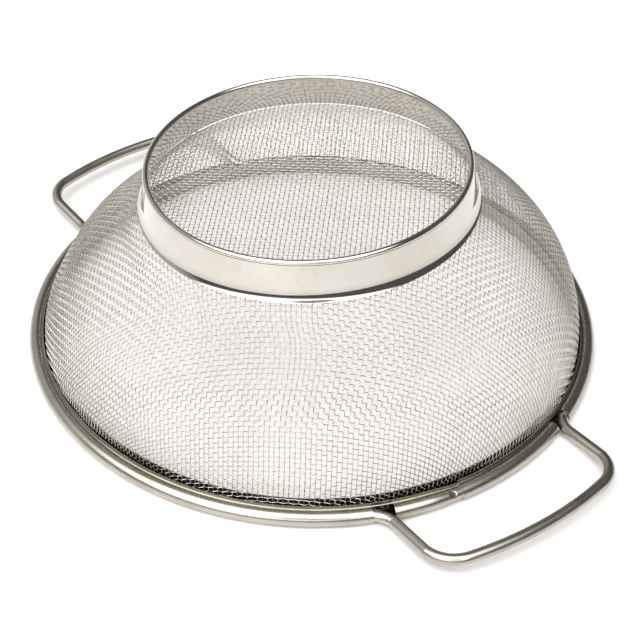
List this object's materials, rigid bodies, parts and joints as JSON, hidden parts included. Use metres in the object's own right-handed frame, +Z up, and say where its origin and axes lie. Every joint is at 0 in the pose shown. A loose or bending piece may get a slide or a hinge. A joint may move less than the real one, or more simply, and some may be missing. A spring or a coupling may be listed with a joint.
{
  "type": "wire mesh strainer",
  "caption": "Round stainless steel wire mesh strainer, lying rim down, with a rolled rim strip, bent wire loop handles and a polished foot ring.",
  "frame": {"origin": "centre of the plane that the rim rests on, with the strainer lying rim down", "axes": "+Z up from the rim's rest plane to the foot ring, +X towards the handle beside the rim strip's lap seam, +Y across the handles"},
  "size_m": [0.3026, 0.24, 0.0863],
  "materials": {
    "wire_cloth": "satin stainless wire cloth",
    "rim_strip": "rolled stainless strip, bright with fine drawing lines",
    "handle_wire": "satin stainless wire",
    "foot_ring": "polished stainless sheet"
  },
  "bodies": {
    "root": {"mesh_bowl": "wire_cloth", "rim_band": "rim_strip", "front_handle": "handle_wire", "rear_handle": "handle_wire", "foot_ring": "foot_ring"}
  },
  "joints": []
}
